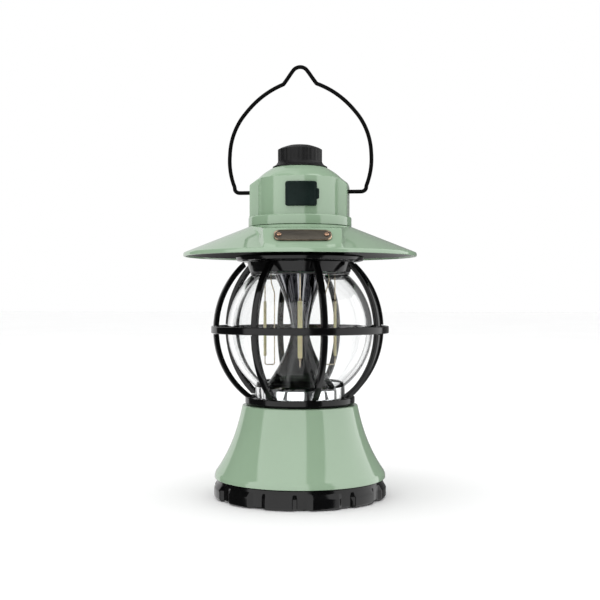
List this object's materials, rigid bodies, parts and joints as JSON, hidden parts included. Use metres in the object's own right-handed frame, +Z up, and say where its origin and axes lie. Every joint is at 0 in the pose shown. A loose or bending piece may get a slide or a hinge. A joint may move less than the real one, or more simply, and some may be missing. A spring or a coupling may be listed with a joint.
{
  "type": "camping lantern",
  "caption": "Rechargeable camping lantern with a flared base, caged clear globe, filament lamps, wide brim, rotary dimmer knob and a swinging wire bail.",
  "frame": {"origin": "middle of the foot ring's underside", "axes": "+Z up, X along the bail's pivot axis, -Y towards the charging port and nameplate"},
  "size_m": [0.13, 0.13, 0.2406],
  "materials": {
    "green_paint": "glossy mint green enamel",
    "black_plastic": "glossy black moulding",
    "bail_wire": "black coated steel wire, semi-gloss",
    "clear_globe": "clear, polished",
    "black_reflector": "glossy black",
    "mirror_reflector": "polished metallised",
    "filament": "pale yellow phosphor silicone",
    "lead_wire": "bright drawn wire",
    "steel": "plated steel",
    "plate_screw": "antique copper plated",
    "bronze_plate": "dark oxidised bronze with a worn bright edge",
    "cover_rubber": "smooth dark silicone",
    "seal_rubber": "matte",
    "cell_wrap": "shrink wrap",
    "board": "solder mask"
  },
  "bodies": {
    "lantern": {"bail_bush_left": "black_plastic", "bail_bush_right": "black_plastic", "base_shell": "green_paint", "battery_cell_1": "cell_wrap", "battery_cell_2": "cell_wrap", "battery_tray": "black_plastic", "bottom_cover": "black_plastic", "bottom_screw_1": "steel", "bottom_screw_2": "steel", "bottom_screw_3": "steel", "brim": "green_paint", "cage_collar": "black_plastic", "cage_hoop": "black_plastic", "cage_hub": "black_plastic", "cage_rib_1": "black_plastic", "cage_rib_2": "black_plastic", "cage_rib_3": "black_plastic", "cage_rib_4": "black_plastic", "cage_rib_5": "black_plastic", "cage_rib_6": "black_plastic", "cage_rib_7": "black_plastic", "cage_rib_8": "black_plastic", "cap_base": "black_plastic", "cap_screw_1": "steel", "cap_screw_2": "steel", "cap_screw_3": "steel", "cap_shell": "green_paint", "column_base": "black_plastic", "dimmer": "steel", "dimmer_nut": "steel", "driver_board": "board", "filament_1": "filament", "filament_2": "filament", "filament_3": "filament", "filament_4": "filament", "foot_ring": "black_plastic", "globe": "clear_globe", "globe_seal_lower": "seal_rubber", "globe_seal_upper": "seal_rubber", "hub_dish": "black_plastic", "light_board": "board", "nameplate": "bronze_plate", "plate_screw_1": "plate_screw", "plate_screw_2": "plate_screw", "port_board": "board", "power_lead": "seal_rubber", "reflector_lower": "black_reflector", "reflector_upper": "mirror_reflector", "return_lead_1": "lead_wire", "return_lead_2": "lead_wire", "return_lead_3": "lead_wire", "return_lead_4": "lead_wire", "usb_a_port": "steel", "usb_c_port": "steel", "wire_tube": "steel"},
    "bail_handle": {"bail_handle": "bail_wire"},
    "knob": {"knob": "black_plastic", "dimmer_shaft": "steel"},
    "usb_cover": {"usb_cover": "cover_rubber"}
  },
  "joints": [
    {"name": "bail_swing", "type": "hinge", "parent": "lantern", "child": "bail_handle", "pos_m": [0, 0, 0.1693], "axis": [1, 0, 0], "range_deg": [-112, 112]},
    {"name": "knob_turn", "type": "hinge", "parent": "lantern", "child": "knob", "pos_m": [0, 0, 0.183], "axis": [0, 0, -1], "range_deg": [0, 270]},
    {"name": "usb_cover_swing", "type": "hinge", "parent": "lantern", "child": "usb_cover", "pos_m": [-0.00488, -0.02426, 0.1663], "axis": [0, 0, -1], "range_deg": [0, 105]}
  ]
}
